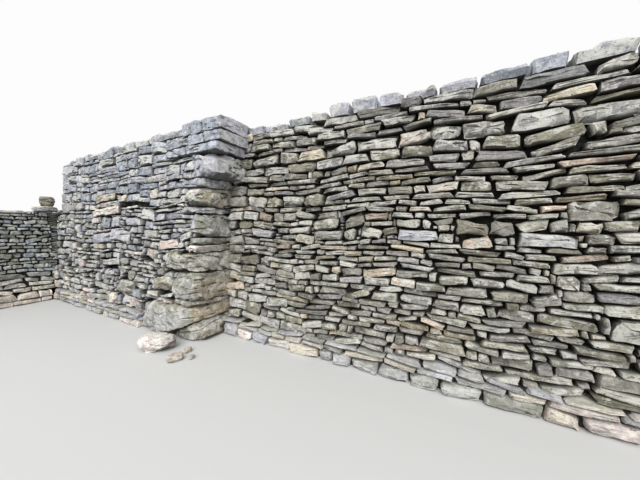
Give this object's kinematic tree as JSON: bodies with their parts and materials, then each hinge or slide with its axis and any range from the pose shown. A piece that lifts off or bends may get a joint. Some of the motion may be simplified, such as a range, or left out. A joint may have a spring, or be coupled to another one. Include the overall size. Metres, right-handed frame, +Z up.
{
  "type": "dry stone wall",
  "caption": "Dry stone wall of limestone rubble: a tall run ending in a pier of boulders, a run set back behind it and a low capped wall meeting it at an inside corner.",
  "frame": {"origin": "on the ground, at the foot of the inside corner between the tall wall's face and the low wall's face", "axes": "+X along the tall wall towards the pier and the recessed run, +Y through the wall towards its back, +Z up"},
  "size_m": [10.07, 4.42, 2.9],
  "materials": {
    "face_stone": "weathered blue-grey limestone rubble with cream and pinkish stones, lichen and open joints",
    "mossy_face_stone": "damp, darker limestone rubble with moss and green staining",
    "footing_stone": "pale, pinkish footing stones, soil-stained at the ground",
    "through_stone": "weathered limestone, split faces",
    "hearting_rubble": "dark, packed small rubble",
    "boulder_stone": "pale weathered limestone boulders with cream lichen, moss on the ledges and brown staining",
    "cap_slab_stone": "flat limestone slabs with moss and lichen"
  },
  "bodies": {
    "root": {"tall_footing": "footing_stone", "tall_front_lower": "face_stone", "tall_back_lower": "face_stone", "tall_hearting_lower": "hearting_rubble", "tall_through_stones": "through_stone", "tall_front_upper": "face_stone", "tall_back_upper": "face_stone", "tall_hearting_upper": "hearting_rubble", "tall_cover_course": "face_stone", "tall_left_end": "face_stone", "pier_base_boulder": "boulder_stone", "pier_base_slab": "boulder_stone", "pier_wedge_stone": "boulder_stone", "pier_side_boulder": "boulder_stone", "pier_large_block": "boulder_stone", "pier_long_boulder": "boulder_stone", "pier_lower_slab": "boulder_stone", "pier_upper_slab": "boulder_stone", "pier_round_boulder": "boulder_stone", "pier_flat_slab": "boulder_stone", "pier_ridged_boulder": "boulder_stone", "pier_square_block": "boulder_stone", "pier_overhanging_boulder": "boulder_stone", "pier_ledge_slab": "boulder_stone", "pier_upper_block": "boulder_stone", "pier_top_block": "boulder_stone", "recessed_footing": "footing_stone", "recessed_front_face": "face_stone", "recessed_back_face": "face_stone", "recessed_hearting": "hearting_rubble", "recessed_through_stones": "through_stone", "recessed_cover_course": "face_stone", "recessed_end": "face_stone", "low_footing": "footing_stone", "low_inner_face": "mossy_face_stone", "low_outer_face": "mossy_face_stone", "low_hearting": "hearting_rubble", "low_corner": "mossy_face_stone", "low_end": "mossy_face_stone", "low_cap_slabs": "cap_slab_stone", "low_overhang_slab": "cap_slab_stone", "low_loose_cap_stone": "cap_slab_stone", "loose_boulder": "boulder_stone", "loose_small_stones": "boulder_stone"}
  },
  "joints": []
}
